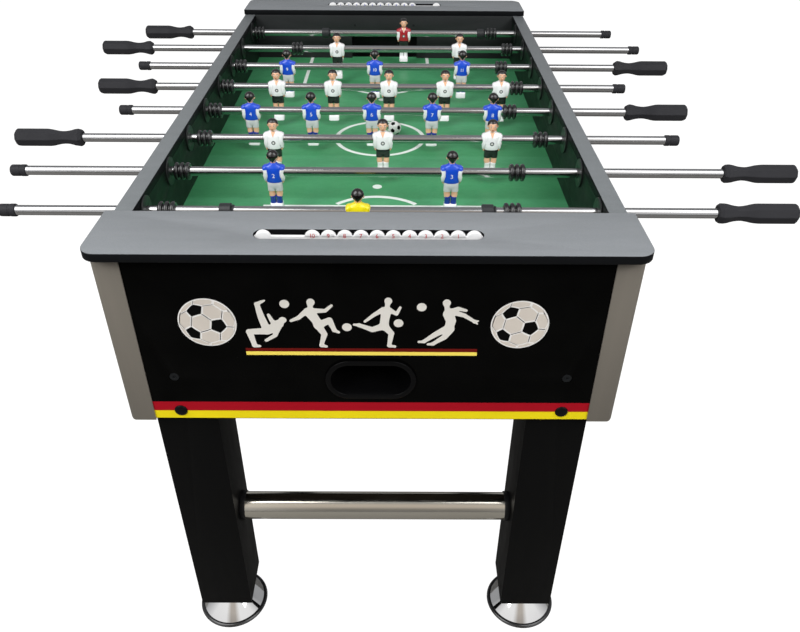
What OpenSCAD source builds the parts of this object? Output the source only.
// Foosball table: a cabinet on four legs, with eight playing rods that slide and spin.
// X runs along the rods, Y along the table from goal to goal, Z up from the floor.

/* [Table] */
// Length of the table over the end boards
table_l = 1420; // [1380:1:1440]
// Width of the table over the end boards
table_w = 760; // [756:1:800]
// Height of the end boards' top faces above the floor
table_h = 880; // [860:1:920]

/* [Cabinet] */
// Thickness of the end boards
board_t = 13; // [10:1:18]
// Depth of an end board along the table
board_d = 122; // [118:1:124]
// Radius of an end board's outer corners
board_corner_r = 24; // [5:1:40]
// How far an end board stands out past the end panel
board_overhang = 23; // [15:1:28]
// Height of the cabinet's lower edge above the floor
apron_z = 570; // [550:1:580]
// Distance between the inner faces of the side panels
inner_w = 700; // [690:1:704]
// Thickness of a side panel
side_t = 24; // [20:1:26]
// Width of the rail on top of a side panel
rail_w = 28; // [27:1:29]
// Height of that rail
rail_t = 14; // [8:1:15]
// Thickness of an end panel
end_t = 18; // [12:1:18]
// Distance between the two goal walls
pitch_l = 1168; // [1150:2:1170]
// Thickness of a goal wall
goal_wall_t = 12; // [8:1:12]
// Thickness of the playfield board
field_t = 10; // [6:1:12]
// Height of the rod axis above the playfield
rod_above_field = 86; // [84:1:90]
// Depth of the rod axis below the end boards' tops
rod_drop = 40; // [38:1:42]

/* [Goals and ball return] */
// Width of a goal mouth
goal_w = 180; // [160:2:206]
// Height of a goal mouth
goal_h = 74; // [50:1:80]
// Width of the ball return's rim
return_w = 136; // [120:1:150]
// Height of the ball return's rim
return_h = 73; // [66:1:76]
// Diameter of the ball
ball_d = 30; // [28:1:32]

/* [Legs] */
// Width of a leg across the table
leg_w = 97; // [80:1:98]
// Depth of a leg along the table
leg_d = 96; // [80:1:98]
// Distance from the table's middle to a leg's outer face
leg_outer_x = 343; // [330:1:345]
// Height of a leg's lower end above the floor
leg_z = 57; // [54:1:80]
// Diameter of a foot
foot_d = 134; // [110:1:136]
// Diameter of the tube between two legs
stretcher_d = 50; // [30:1:60]
// Height of that tube's axis above the floor
stretcher_z = 290; // [200:5:450]

/* [Rods] */
// Diameter of a rod
rod_d = 15.9; // [15.9:0.1:15.9]
// Distance between two rods along the table
rod_pitch = 146; // [145:0.5:146]
// Length of a handle
handle_l = 123; // [118:1:135]
// Largest diameter of a handle
handle_d = 33.5; // [30:0.5:38]
// Length of a rubber bumper
bumper_l = 28; // [20:1:28]
// Diameter of a rubber bumper
bumper_d = 30; // [26:1:34]

/* [Scorers] */
// Length of a scorer's slot
scorer_l = 314; // [300:1:330]
// Width of a scorer's slot
scorer_w = 26; // [18:1:30]
// Distance between two score tabs
tab_pitch = 22.1; // [20:0.1:22.1]

/* [Hidden] */
eps = 0.5;
fit = 0.05;          // radial clearance of a running fit
facets = 64;

rail_z = table_h - board_t;                 // tops of the rails, under the end boards
rod_z = table_h - rod_drop;                 // axis of every rod
field_z = rod_z - rod_above_field;          // top of the playfield
end_y = table_l / 2 - board_overhang;       // outer face of an end panel
scorer_y = table_l / 2 - 56;                // middle of a scorer's slot
side_x = inner_w / 2 + side_t;              // outer face of a side panel
side_y = end_y - end_t;                     // end of a side panel
goal_y = pitch_l / 2;                       // inner face of a goal wall
groove = 4;                                 // depth of the grooves that hold the playfield
bearing_r = 12;                             // hole in a side panel for a bearing
flange_r = 24;
flange_t = 3;

leg_x = leg_outer_x - leg_w / 2;
leg_y = end_y - end_t - 1 - leg_d / 2;
leg_top = field_z - field_t - 14;
leg_wall = 15;
bolt_z = apron_z + 17;
screw_z = apron_z + 83;
bolt_r = 4;
bolt_fit = 0.2;      // radial clearance of a bolt or screw
bolt_cap_r = 10;
bolt_cap_t = 3.5;
pocket_r = 8;        // counterbore that hides a screw's head
pocket_d = 3;
stem_r = 6;

trim_w = 40;         // how far a corner trim reaches along the end panel
trim_t = 2;
corner_r = 8;        // rounding of the cabinet's upright corners
return_z = 650;      // middle of the ball return
return_depth = 75;

tab_z = table_h - 6; // middle of a score tab's round top
tab_t = 7;
tab_x = scorer_l / 2 - 1.9 - tab_pitch / 2;  // middle of a fixed blank tab
bar_t = 4;
bar_h = 9.7;
bar_z = tab_z + 3.6; // top of the score bar

ball_x = 31;
ball_y = 20;

head_top = 39;       // a player's head above the rod axis
head_r = 10.5;
foot_bottom = 71;    // a player's foot below the rod axis

// One row per rod, from the near goal to the far one:
// [overall length, outer end of the handle, players, way they face,
//  bumper that rides on the rod, bumper at the wall, stop collars]
RODS = [
    [1232,  657, [-22],                      1, 216, -316,   [-224, 180]],
    [1335,  717, [-172, 131],                1, 242, -327,   []],
    [1232, -669.5, [-192, 11, 214],         -1, 304, -319.5, []],
    [1144,  621.5, [-258, -136, -14, 108, 230], 1, 264, -329.5, []],
    [1144, -610.5, [-225, -103, 19, 141, 263], -1, 297, -331.5, []],
    [1232,  666, [-220, -16, 188],           1, 279, -328,   []],
    [1335, -695.5, [-114, 191],             -1, -212.5, 309.5, []],
    [1232, -629, [53],                      -1, 285, -329,   [-152, 258]]
];

function rod_y(i) = (i - 4.5) * rod_pitch;
function handle_side(i) = sign(RODS[i - 1][1]);
function handle_end(i) = RODS[i - 1][1];
function cap_end(i) = handle_end(i) - handle_side(i) * RODS[i - 1][0];

// ---- helpers ----

// Box between two corners
module block(lo, hi) {
    translate(lo)
        cube(hi - lo);
}

// Cylinder along +X from x0 to x1
module x_cyl(x0, x1, r) {
    translate([x0, 0, 0])
        rotate([0, 90, 0])
            cylinder(r = r, h = x1 - x0, $fn = facets);
}

// Cylinder along +Y from y0 to y1
module y_cyl(y0, y1, r) {
    translate([0, y0, 0])
        rotate([-90, 0, 0])
            cylinder(r = r, h = y1 - y0, $fn = facets);
}

// Flat outline with rounded ends, lying along its first axis
module stadium(w, h) {
    square([w - h, h], center = true);
    for (s = [-1, 1])
        translate([s * (w - h) / 2, 0])
            circle(d = h, $fn = facets);
}

// Stadium outline in the XZ plane, extruded from y0 to y1
module y_stadium(w, h, y0, y1) {
    translate([0, y1, 0])
        rotate([90, 0, 0])
            linear_extrude(y1 - y0)
                stadium(w, h);
}

// Draws its children at both ends of the table; the second copy is turned half round
module both_ends() {
    children();
    rotate([0, 0, 180])
        children();
}

// Draws its children at all four corners, mirrored; they are drawn at +X, -Y
module four_corners() {
    for (sx = [0, 1])
        for (sy = [0, 1])
            mirror([sx, 0, 0])
                mirror([0, sy, 0])
                    children();
}

// ---- cabinet ----

// Right-hand side panel, with the bearing holes, the bolt holes and the playfield's groove
module side_panel() {
    difference() {
        block([inner_w / 2, -side_y, apron_z], [side_x, side_y, rail_z - rail_t]);
        block([inner_w / 2 - eps, -goal_y - goal_wall_t - 0.5, field_z - field_t - 0.1],
              [inner_w / 2 + groove + 0.2, goal_y + goal_wall_t + 0.5, field_z + 0.1]);
        for (i = [1:8])
            translate([0, rod_y(i), rod_z])
                x_cyl(inner_w / 2 - eps, side_x + eps, bearing_r);
        for (s = [-1, 1]) {
            translate([0, s * leg_y, bolt_z])
                x_cyl(inner_w / 2 - eps, side_x + eps, bolt_r + bolt_fit);
            translate([0, s * leg_y, screw_z]) {
                x_cyl(inner_w / 2 - eps, side_x + eps, bolt_r + bolt_fit);
                x_cyl(side_x - pocket_d, side_x + eps, pocket_r);
            }
        }
    }
}

module side_panel_left() {
    color("#16181a")
        mirror([1, 0, 0])
            side_panel();
}

module side_panel_right() {
    color("#16181a")
        side_panel();
}

module side_rails() {
    color("#84888c")
        for (s = [0, 1])
            mirror([s, 0, 0])
                block([inner_w / 2, -side_y, rail_z - rail_t],
                      [inner_w / 2 + rail_w, side_y, rail_z]);
}

// End panel at -Y, with the ball return's hole and the bolt holes
module end_panel() {
    difference() {
        translate([0, 0, apron_z])
            linear_extrude(rail_z - apron_z)
                union() {
                    translate([-side_x, -end_y + corner_r])
                        square([2 * side_x, end_t - corner_r]);
                    translate([-side_x + corner_r, -end_y])
                        square([2 * (side_x - corner_r), end_t]);
                    for (s = [-1, 1])
                        translate([s * (side_x - corner_r), -end_y + corner_r])
                            circle(r = corner_r, $fn = facets);
                }
        translate([0, 0, return_z])
            y_stadium(return_w - 8, return_h - 8, -end_y - eps, -side_y + eps);
        for (s = [-1, 1]) {
            translate([s * leg_x, 0, bolt_z])
                y_cyl(-end_y - eps, -side_y + eps, bolt_r + bolt_fit);
            translate([s * leg_x, 0, screw_z]) {
                y_cyl(-end_y - eps, -side_y + eps, bolt_r + bolt_fit);
                y_cyl(-end_y - eps, -end_y + pocket_d, pocket_r);
            }
        }
    }
}

module end_panel_near() {
    color("#0c0c0d")
        end_panel();
}

module end_panel_far() {
    color("#0c0c0d")
        rotate([0, 0, 180])
            end_panel();
}

// Goal mouth's outline, with round upper corners
module goal_outline() {
    r = 20;
    translate([-goal_w / 2, -1])
        square([goal_w, goal_h - r + 1]);
    translate([-goal_w / 2 + r, 0])
        square([goal_w - 2 * r, goal_h]);
    for (s = [-1, 1])
        translate([s * (goal_w / 2 - r), goal_h - r])
            circle(r = r, $fn = facets);
}

module goal_walls() {
    color("#101312")
        both_ends()
            difference() {
                block([-inner_w / 2, -goal_y - goal_wall_t, field_z], [inner_w / 2, -goal_y, rail_z]);
                translate([0, -goal_y + 1, field_z])
                    rotate([90, 0, 0])
                        linear_extrude(goal_wall_t + 2)
                            goal_outline();
            }
}

module playfield() {
    half_w = inner_w / 2 + groove;
    half_l = goal_y + goal_wall_t;
    color("#2f8f4e")
        block([-half_w, -half_l, field_z - field_t], [half_w, half_l, field_z]);
}

// End board at -Y, with the scorer's slot
module top_board() {
    x1 = table_w / 2;
    r = board_corner_r;
    y0 = -table_l / 2;
    translate([0, 0, rail_z])
        linear_extrude(board_t)
            difference() {
                union() {
                    translate([-x1, y0 + r])
                        square([2 * x1, board_d - r]);
                    translate([-x1 + r, y0])
                        square([2 * (x1 - r), board_d]);
                    for (s = [-1, 1])
                        translate([s * (x1 - r), y0 + r])
                            circle(r = r, $fn = facets);
                }
                translate([0, -scorer_y])
                    stadium(scorer_l, scorer_w);
            }
}

module top_board_near() {
    color("#84888c")
        top_board();
}

module top_board_far() {
    color("#84888c")
        rotate([0, 0, 180])
            top_board();
}

// Angle trim round an upright corner of the cabinet, with its lower corner rounded
module corner_trim() {
    low = apron_z - 2;
    foot_r = 7;
    outer_x = side_x + trim_t;
    outer_y = end_y + trim_t;
    r = corner_r + trim_t;
    intersection() {
        translate([0, 0, low])
            linear_extrude(rail_z - low)
                difference() {
                    union() {
                        translate([outer_x - trim_w, -outer_y])
                            square([trim_w - r, trim_w]);
                        translate([outer_x - trim_w, -outer_y + r])
                            square([trim_w, trim_w - r]);
                        translate([outer_x - r, -outer_y + r])
                            circle(r = r, $fn = facets);
                    }
                    translate([side_x - trim_w - 1, -end_y + corner_r])
                        square([trim_w + 1, trim_w]);
                    translate([side_x - trim_w - 1, -end_y])
                        square([trim_w + 1 - corner_r, trim_w]);
                    translate([side_x - corner_r, -end_y + corner_r])
                        circle(r = corner_r, $fn = facets);
                }
        translate([0, -outer_y + trim_w + 1, 0])
            rotate([90, 0, 0])
                linear_extrude(trim_w + 2)
                    union() {
                        translate([0, low + foot_r])
                            square([outer_x, rail_z]);
                        translate([0, low])
                            square([outer_x - foot_r, rail_z]);
                        translate([outer_x - foot_r, low + foot_r])
                            circle(r = foot_r, $fn = facets);
                    }
    }
}

// The trims end under the rails
module corner_trims() {
    color("#9a9a96")
        difference() {
            four_corners()
                corner_trim();
            side_rails();
        }
}

// ---- legs ----

// Hollow leg, closed at its lower end, with holes for its bolts and for the foot's stem
module leg() {
    translate([leg_x, -leg_y, 0])
        difference() {
            block([-leg_w / 2, -leg_d / 2, leg_z], [leg_w / 2, leg_d / 2, leg_top]);
            block([-leg_w / 2 + leg_wall, -leg_d / 2 + leg_wall, leg_z + 50],
                  [leg_w / 2 - leg_wall, leg_d / 2 - leg_wall, leg_top - leg_wall]);
            translate([0, 0, leg_z - eps])
                cylinder(r = stem_r + 0.1, h = 46, $fn = facets);
            for (z = [bolt_z, screw_z])
                translate([0, 0, z]) {
                    y_cyl(-leg_d / 2 - eps, 0, bolt_r + 0.1);
                    x_cyl(0, leg_w / 2 + eps, bolt_r + 0.1);
                }
        }
}

module legs_near() {
    color("#141415")
        for (s = [0, 1])
            mirror([s, 0, 0])
                leg();
}

module legs_far() {
    color("#141415")
        mirror([0, 1, 0])
            for (s = [0, 1])
                mirror([s, 0, 0])
                    leg();
}

// Levelling foot: a domed cup on a rubber ring, with a stem that screws into the leg
module foot() {
    r = foot_d / 2;
    ring_h = 7;
    dome_h = 44;
    top_r = 26;
    color("#d5d7da")
        translate([leg_x, -leg_y, 0]) {
            cylinder(r = r, h = ring_h, $fn = facets);
            translate([0, 0, ring_h])
                dome(r - 7.2, top_r, dome_h);
            cylinder(r = 14, h = leg_z - 0.3, $fn = facets);
            cylinder(r = stem_r, h = leg_z + 40, $fn = facets);
        }
}

// Solid of revolution whose side is a quarter arc from radius r0 at the floor to r1 at height h
module dome(r0, r1, h) {
    arc = [for (a = [0:15:90]) [r1 + (r0 - r1) * cos(a), h * sin(a)]];
    rotate_extrude($fn = facets)
        polygon(concat([[0, 0]], arc, [[0, h]]));
}

module foot_near_left() {
    mirror([1, 0, 0])
        foot();
}

module foot_near_right() {
    foot();
}

module foot_far_left() {
    rotate([0, 0, 180])
        foot();
}

module foot_far_right() {
    mirror([0, 1, 0])
        foot();
}

// Tubes between the two legs of each end, let into a cup at both ends
module stretcher_tubes() {
    half = leg_x - leg_w / 2 - 3;
    color("#c9c6bd")
        both_ends()
            translate([0, -leg_y, stretcher_z])
                difference() {
                    x_cyl(-half, half, stretcher_d / 2);
                    x_cyl(-half - eps, half + eps, stretcher_d / 2 - 1.5);
                }
}

module stretcher_cups() {
    face = leg_x - leg_w / 2;
    color("#1a1a1a")
        both_ends()
            for (s = [0, 1])
                mirror([s, 0, 0])
                    translate([0, -leg_y, stretcher_z])
                        difference() {
                            x_cyl(face - 9, face, stretcher_d / 2 + 2);
                            x_cyl(face - 9 - eps, face - 3, stretcher_d / 2 + 0.05);
                        }
}

// ---- fasteners ----

// Bolts with round caps: one through the end panel and one through the side panel per leg
module leg_bolts() {
    color("#101010")
        four_corners() {
            translate([leg_x, 0, bolt_z]) {
                y_cyl(-end_y - bolt_cap_t, -end_y, bolt_cap_r);
                y_cyl(-end_y, -leg_y - leg_d / 2 + leg_wall + 4, bolt_r);
            }
            translate([0, -leg_y, bolt_z]) {
                x_cyl(side_x, side_x + bolt_cap_t, bolt_cap_r);
                x_cyl(leg_x + leg_w / 2 - leg_wall - 4, side_x, bolt_r);
            }
        }
}

// Screws whose heads sit in a counterbore, above the bolts
module panel_screws() {
    color("#101010")
        four_corners() {
            translate([leg_x, 0, screw_z]) {
                y_cyl(-end_y + 0.5, -end_y + pocket_d, pocket_r - 0.5);
                y_cyl(-end_y + pocket_d, -leg_y - leg_d / 2 + leg_wall + 4, bolt_r);
            }
            translate([0, -leg_y, screw_z]) {
                x_cyl(side_x - pocket_d, side_x - 0.5, pocket_r - 0.5);
                x_cyl(leg_x + leg_w / 2 - leg_wall - 4, side_x - pocket_d, bolt_r);
            }
        }
}

// ---- goals, ball return and ball ----

// Funnel behind a goal wall: the ball drops from the goal mouth to the hole in its floor
module goal_box() {
    y0 = -side_y + 1;
    y1 = -goal_y - goal_wall_t - 2;
    top = rail_z - 5;
    wide = goal_w / 2 + 5;
    narrow = 40;
    knee = field_z - 8;
    floor_z = return_z + return_h / 2 + 3.5;
    wall = 3;
    outer = [[-wide, top], [-wide, knee], [-narrow, floor_z],
             [narrow, floor_z], [wide, knee], [wide, top]];
    inner = [[-wide + wall, top + 1], [-wide + wall, knee + 2], [-narrow + wall, floor_z + 2],
             [-narrow + wall, floor_z - 1], [narrow - wall, floor_z - 1],
             [narrow - wall, floor_z + 2], [wide - wall, knee + 2], [wide - wall, top + 1]];
    translate([0, y1, 0])
        rotate([90, 0, 0])
            linear_extrude(y1 - y0)
                difference() {
                    polygon(outer);
                    polygon(inner);
                }
    // back plate, and front plate below the playfield
    translate([0, y0 + wall, 0])
        rotate([90, 0, 0])
            linear_extrude(wall)
                polygon(outer);
    translate([0, y1, 0])
        rotate([90, 0, 0])
            linear_extrude(wall)
                intersection() {
                    polygon(outer);
                    translate([-wide, 0])
                        square([2 * wide, field_z - 2]);
                }
}

module goal_boxes() {
    color("#222425")
        both_ends()
            goal_box();
}

// Moulded cup that catches the ball, with a rim round the hole in the end panel
module ball_return_cups() {
    wall = 3;
    front = -end_y - 3;
    back = -end_y + return_depth;
    color("#0a0a0a")
        both_ends()
            translate([0, 0, return_z])
                difference() {
                    union() {
                        y_stadium(return_w, return_h, front, -end_y);
                        y_stadium(return_w - 10, return_h - 10, front, back);
                    }
                    y_stadium(return_w - 16, return_h - 16, front - eps, back - wall);
                    block([-37, -end_y + end_t + 5, 0], [37, back - wall - 6, return_h]);
                }
}

module ball() {
    color("#f2f2f0")
        translate([ball_x, ball_y, field_z + ball_d / 2])
            sphere(d = ball_d, $fn = facets);
}

// ---- scorers ----

// Score tab: a plate with a round top that slides on the bar
module tab(x) {
    translate([x, tab_t / 2, 0])
        rotate([90, 0, 0])
            linear_extrude(tab_t)
                difference() {
                    union() {
                        translate([0, tab_z])
                            circle(d = tab_pitch - 0.2, $fn = facets);
                        translate([-tab_pitch / 2 + 0.1, tab_z - 9.5])
                            square([tab_pitch - 0.2, 9.5]);
                    }
                    children();
                }
}

// Draws its children on the near scorer's axis
module at_scorer() {
    translate([0, -scorer_y, 0])
        children();
}

// Bar along the slot, with a fixed blank tab at each end
module score_bar() {
    at_scorer() {
        block([-scorer_l / 2 + 1, -bar_t / 2, bar_z - bar_h], [scorer_l / 2 - 1, bar_t / 2, bar_z]);
        for (x = [-tab_x, tab_x])
            tab(x);
    }
}

module score_bars() {
    color("#f4f4f4")
        both_ends()
            score_bar();
}

// Ten tabs, pushed towards the right-hand end
module score_tabs() {
    at_scorer()
        for (k = [0:9])
            tab(tab_x - (10 - k) * tab_pitch)
                translate([-tab_pitch, bar_z - bar_h - 0.3])
                    square([2 * tab_pitch, bar_h + 0.6]);
}

module score_tabs_near() {
    color("#f7f7f7")
        score_tabs();
}

module score_tabs_far() {
    color("#f7f7f7")
        rotate([0, 0, 180])
            score_tabs();
}

// ---- rods ----

// Flanged bearings in the side panels, two per rod
module rod_bearings() {
    color("#1c1c1e")
        for (i = [1:8])
            for (s = [0, 1])
                mirror([s, 0, 0])
                    translate([0, rod_y(i), rod_z])
                        difference() {
                            union() {
                                x_cyl(inner_w / 2 - flange_t, inner_w / 2, flange_r);
                                x_cyl(inner_w / 2, side_x, bearing_r - 0.1);
                                x_cyl(side_x, side_x + 3, 13);
                            }
                            x_cyl(inner_w / 2 - flange_t - eps, side_x + 3 + eps, rod_d / 2 + fit);
                        }
}

// Rubber bumper with three ribs, its middle at x = 0
module bumper() {
    rib = bumper_l / 3;
    r = bumper_d / 2;
    difference() {
        union() {
            x_cyl(-bumper_l / 2, bumper_l / 2, r - 2.5);
            for (k = [-1:1])
                x_cyl(k * rib - rib / 2 + 1, k * rib + rib / 2 - 1, r);
        }
        x_cyl(-bumper_l, bumper_l, rod_d / 2 + fit);
    }
}

// Bumpers that lie loose against the side panels, one per rod
module wall_bumpers() {
    color("#161616")
        for (i = [1:8])
            translate([RODS[i - 1][5], rod_y(i), rod_z])
                bumper();
}

module rod_bumper(i) {
    color("#161616")
        translate([RODS[i - 1][4], rod_y(i), rod_z])
            bumper();
}

// Chromed tube, from inside its end cap to inside its handle
module rod(i) {
    a = cap_end(i) + handle_side(i) * 4;
    b = handle_end(i) - handle_side(i) * 30;
    color("#b9bcc0")
        translate([0, rod_y(i), rod_z])
            difference() {
                x_cyl(min(a, b), max(a, b), rod_d / 2);
                x_cyl(min(a, b) - eps, max(a, b) + eps, rod_d / 2 - 1.6);
            }
}

// Handle with a flared collar and a waist; the rod enters at x = 0 and the end is at x = handle_l
module handle() {
    r = handle_d / 2;
    profile = [[0, 0], [r - 5, 0], [r, 6], [r - 1, 14], [r - 4, 24], [r - 5.2, 36],
               [r - 4, 46], [r - 1, 58], [r, 64], [r, handle_l - 5],
               [r - 4, handle_l], [0, handle_l]];
    difference() {
        rotate([0, 90, 0])
            rotate_extrude($fn = facets)
                polygon(profile);
        x_cyl(-eps, handle_l - 29.5, rod_d / 2);
    }
}

module end_cap() {
    difference() {
        union() {
            x_cyl(2, 26, 10);
            x_cyl(0, 2, 8.5);
        }
        x_cyl(4, 26 + eps, rod_d / 2);
    }
}

// Stop collar with a narrower sleeve at one end
module collar() {
    difference() {
        union() {
            x_cyl(-11, 7, 12.5);
            x_cyl(7, 11, 10);
        }
        x_cyl(-12, 12, rod_d / 2);
    }
}

// Handle, end cap and stop collars of one rod
module rod_handle(i) {
    flip = handle_side(i) > 0 ? 0 : 1;
    color("#1d1d20")
        translate([0, rod_y(i), rod_z]) {
            mirror([flip, 0, 0]) {
                translate([abs(handle_end(i)) - handle_l, 0, 0])
                    handle();
                translate([abs(handle_end(i)) - RODS[i - 1][0], 0, 0])
                    end_cap();
            }
            for (x = RODS[i - 1][6])
                translate([x, 0, 0])
                    collar();
        }
}

// Player hung on the rod, facing +Y: the front outline cut with the side outline
module player() {
    front = [[-19.5, 9], [-16, 12], [-6, 16], [6, 16], [16, 12], [19.5, 9], [19.5, -14],
             [14, -18], [12, -48], [11.6, -foot_bottom], [-11.6, -foot_bottom], [-12, -48],
             [-14, -18], [-19.5, -14]];
    side = [[-9, 16], [9, 16], [11, 11], [11, -14], [7, -30], [6, -52], [13, -60],
            [13, -foot_bottom], [-9, -foot_bottom], [-8, -52], [-9, -30], [-11, -14], [-11, 11]];
    difference() {
        union() {
            intersection() {
                translate([0, 20, 0])
                    rotate([90, 0, 0])
                        linear_extrude(40)
                            polygon(front);
                translate([-25, 0, 0])
                    rotate([90, 0, 90])
                        linear_extrude(50)
                            polygon(side);
            }
            translate([0, 0, 14])
                cylinder(r = 5, h = 8, $fn = 32);
            translate([0, 0, head_top - head_r])
                sphere(r = head_r, $fn = 32);
        }
        x_cyl(-30, 30, rod_d / 2 + fit);
    }
}

module team(i) {
    shirts = ["#f2d21c", "#1f4fc0", "#f0f0ee", "#1f4fc0", "#f0f0ee", "#1f4fc0", "#f0f0ee", "#b3202a"];
    turn = RODS[i - 1][3] > 0 ? 0 : 180;
    color(shirts[i - 1])
        for (x = RODS[i - 1][2])
            translate([x, rod_y(i), rod_z])
                rotate([0, 0, turn])
                    player();
}

side_panel_left();
side_panel_right();
side_rails();
end_panel_near();
end_panel_far();
goal_walls();
playfield();
top_board_near();
top_board_far();
corner_trims();
legs_near();
legs_far();
foot_near_left();
foot_near_right();
foot_far_left();
foot_far_right();
stretcher_tubes();
stretcher_cups();
rod_bearings();
wall_bumpers();
goal_boxes();
ball_return_cups();
score_bars();
score_tabs_near();
score_tabs_far();
leg_bolts();
panel_screws();
ball();
rod(1);  // rod_1
rod(2);  // rod_2
rod(3);  // rod_3
rod(4);  // rod_4
rod(5);  // rod_5
rod(6);  // rod_6
rod(7);  // rod_7
rod(8);  // rod_8
team(1);  // players_1
team(2);  // players_2
team(3);  // players_3
team(4);  // players_4
team(5);  // players_5
team(6);  // players_6
team(7);  // players_7
team(8);  // players_8
rod_handle(1);  // handle_1
rod_handle(2);  // handle_2
rod_handle(3);  // handle_3
rod_handle(4);  // handle_4
rod_handle(5);  // handle_5
rod_handle(6);  // handle_6
rod_handle(7);  // handle_7
rod_handle(8);  // handle_8
rod_bumper(1);  // bumper_1
rod_bumper(2);  // bumper_2
rod_bumper(3);  // bumper_3
rod_bumper(4);  // bumper_4
rod_bumper(5);  // bumper_5
rod_bumper(6);  // bumper_6
rod_bumper(7);  // bumper_7
rod_bumper(8);  // bumper_8
